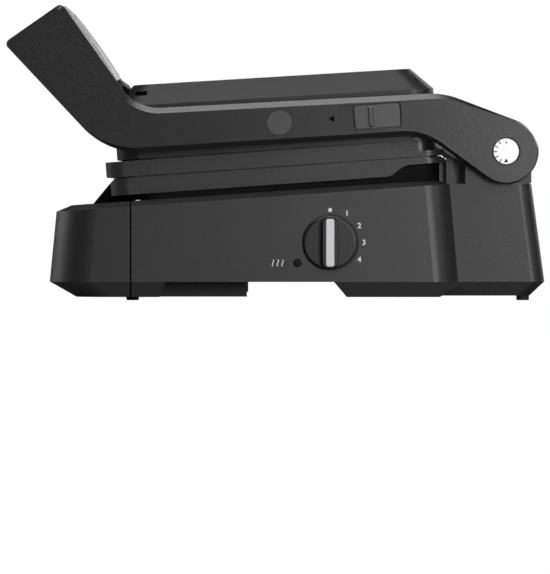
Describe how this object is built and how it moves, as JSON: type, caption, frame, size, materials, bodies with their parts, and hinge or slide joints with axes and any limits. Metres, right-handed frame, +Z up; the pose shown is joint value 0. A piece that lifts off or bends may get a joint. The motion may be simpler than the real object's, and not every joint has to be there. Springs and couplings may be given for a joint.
{
  "type": "contact grill",
  "caption": "Contact grill with side arms, a floating ribbed upper plate, a ribbed lower plate over a front drip tray, a side thermostat knob and a panel in the handle.",
  "frame": {"origin": "middle of the bounding box at the height of the table", "axes": "+X to the side with the knob, -Y to the front where the handle and tray are, +Z up"},
  "size_m": [0.3782, 0.3635, 0.1994],
  "materials": {
    "base_plastic": "satin",
    "arm_plastic": "satin",
    "cover_plastic": "satin",
    "tray_plastic": "matte",
    "plate_coating": "satin",
    "frame_plastic": "matte",
    "bright_steel": "brushed",
    "screw_steel": "satin",
    "foot_rubber": "matte",
    "black_gloss": "gloss",
    "pointer_plastic": "satin",
    "lens_red": "gloss",
    "display_glass": "gloss",
    "circuit_board": "satin",
    "heater_steel": "satin",
    "slider_plastic": "satin"
  },
  "bodies": {
    "base": {"base_shell": "base_plastic", "base_floor": "frame_plastic", "feet": "foot_rubber", "floor_screws": "screw_steel", "lower_frame": "frame_plastic", "hinge_housing": "base_plastic", "hinge_bracket": "screw_steel", "hinge_pins": "screw_steel", "hinge_caps": "bright_steel", "lock_disc": "screw_steel", "lower_plate": "plate_coating", "lower_shield": "bright_steel", "lower_heater": "heater_steel", "lower_heater_clips": "screw_steel", "lower_probe": "screw_steel", "thermostat": "frame_plastic", "indicator_lens": "lens_red", "power_board": "circuit_board", "board_screws": "screw_steel", "cord_gland": "frame_plastic"},
    "lower latch": {"lower_plate_latch": "frame_plastic"},
    "tray": {"tray_front": "tray_plastic", "drip_tray": "tray_plastic"},
    "lid": {"right_arm": "arm_plastic", "left_arm": "arm_plastic", "arm_liners": "screw_steel", "arm_screws": "screw_steel", "pivot_caps": "arm_plastic", "hinge_bushes": "frame_plastic", "handle_grip": "arm_plastic", "handle_back": "arm_plastic", "handle_skin": "bright_steel", "handle_beam": "screw_steel", "handle_screws": "screw_steel", "control_panel": "black_gloss", "display_ring": "bright_steel", "display_lens": "display_glass", "control_board": "circuit_board"},
    "head": {"upper_frame": "frame_plastic", "upper_cover": "cover_plastic", "upper_top_panel": "cover_plastic", "pivot_brackets": "screw_steel", "upper_plate": "plate_coating", "upper_shield": "bright_steel", "upper_heater": "heater_steel", "upper_heater_clips": "screw_steel", "upper_probe": "screw_steel"},
    "upper latch": {"upper_plate_latch": "frame_plastic"},
    "flat lock": {"latch_slider": "slider_plastic", "latch_rod": "screw_steel", "latch_spring": "screw_steel"},
    "knob": {"knob": "arm_plastic", "knob_pointer": "pointer_plastic", "thermostat_shaft": "screw_steel"},
    "button 1": {"button_1": "black_gloss"},
    "button 2": {"button_2": "black_gloss"},
    "button 3": {"button_3": "black_gloss"},
    "button 4": {"button_4": "black_gloss"},
    "button 5": {"button_5": "black_gloss"},
    "button 6": {"button_6": "black_gloss"}
  },
  "joints": [
    {"name": "lid hinge", "type": "hinge", "parent": "base", "child": "lid", "pos_m": [-0.00512, 0.15534, 0.1006], "axis": [-1, 0, 0], "range_deg": [0, 180]},
    {"name": "floating head pivot", "type": "hinge", "parent": "lid", "child": "head", "pos_m": [-0.00512, 0.00233, 0.11977], "axis": [-1, 0, 0], "range_deg": [-0.2, 0.2]},
    {"name": "thermostat knob", "type": "hinge", "parent": "base", "child": "knob", "pos_m": [0.17388, 0.03664, 0.039], "axis": [-1, 0, 0], "range_deg": [0, 120]},
    {"name": "drip tray slide", "type": "slide", "parent": "base", "child": "tray", "axis": [0, -1, 0], "range_m": [0, 0.12]},
    {"name": "flat opening lock", "type": "slide", "parent": "lid", "child": "flat lock", "axis": [0, -0.9976, -0.0698], "range_m": [0, 0.009], "stiffness_N_per_m": 300, "springref_m": -0.002, "deforming": ["latch_spring"]},
    {"name": "lower plate latch", "type": "slide", "parent": "base", "child": "lower latch", "axis": [1, 0, 0], "range_m": [0, 0.003], "stiffness_N_per_m": 250, "springref_m": -0.001},
    {"name": "upper plate latch", "type": "slide", "parent": "head", "child": "upper latch", "axis": [0, 0.9976, 0.0698], "range_m": [0, 0.003], "stiffness_N_per_m": 250, "springref_m": -0.001},
    {"name": "push button 1", "type": "slide", "parent": "lid", "child": "button 1", "axis": [0, 0.5722, -0.8201], "range_m": [0, 0.0008], "stiffness_N_per_m": 150, "springref_m": -0.0005},
    {"name": "push button 2", "type": "slide", "parent": "lid", "child": "button 2", "axis": [0, 0.5722, -0.8201], "range_m": [0, 0.0008], "stiffness_N_per_m": 150, "springref_m": -0.0005},
    {"name": "push button 3", "type": "slide", "parent": "lid", "child": "button 3", "axis": [0, 0.5722, -0.8201], "range_m": [0, 0.0008], "stiffness_N_per_m": 150, "springref_m": -0.0005},
    {"name": "push button 4", "type": "slide", "parent": "lid", "child": "button 4", "axis": [0, 0.5722, -0.8201], "range_m": [0, 0.0008], "stiffness_N_per_m": 150, "springref_m": -0.0005},
    {"name": "push button 5", "type": "slide", "parent": "lid", "child": "button 5", "axis": [0, 0.5722, -0.8201], "range_m": [0, 0.0008], "stiffness_N_per_m": 150, "springref_m": -0.0005},
    {"name": "push button 6", "type": "slide", "parent": "lid", "child": "button 6", "axis": [0, 0.5722, -0.8201], "range_m": [0, 0.0008], "stiffness_N_per_m": 150, "springref_m": -0.0005}
  ]
}
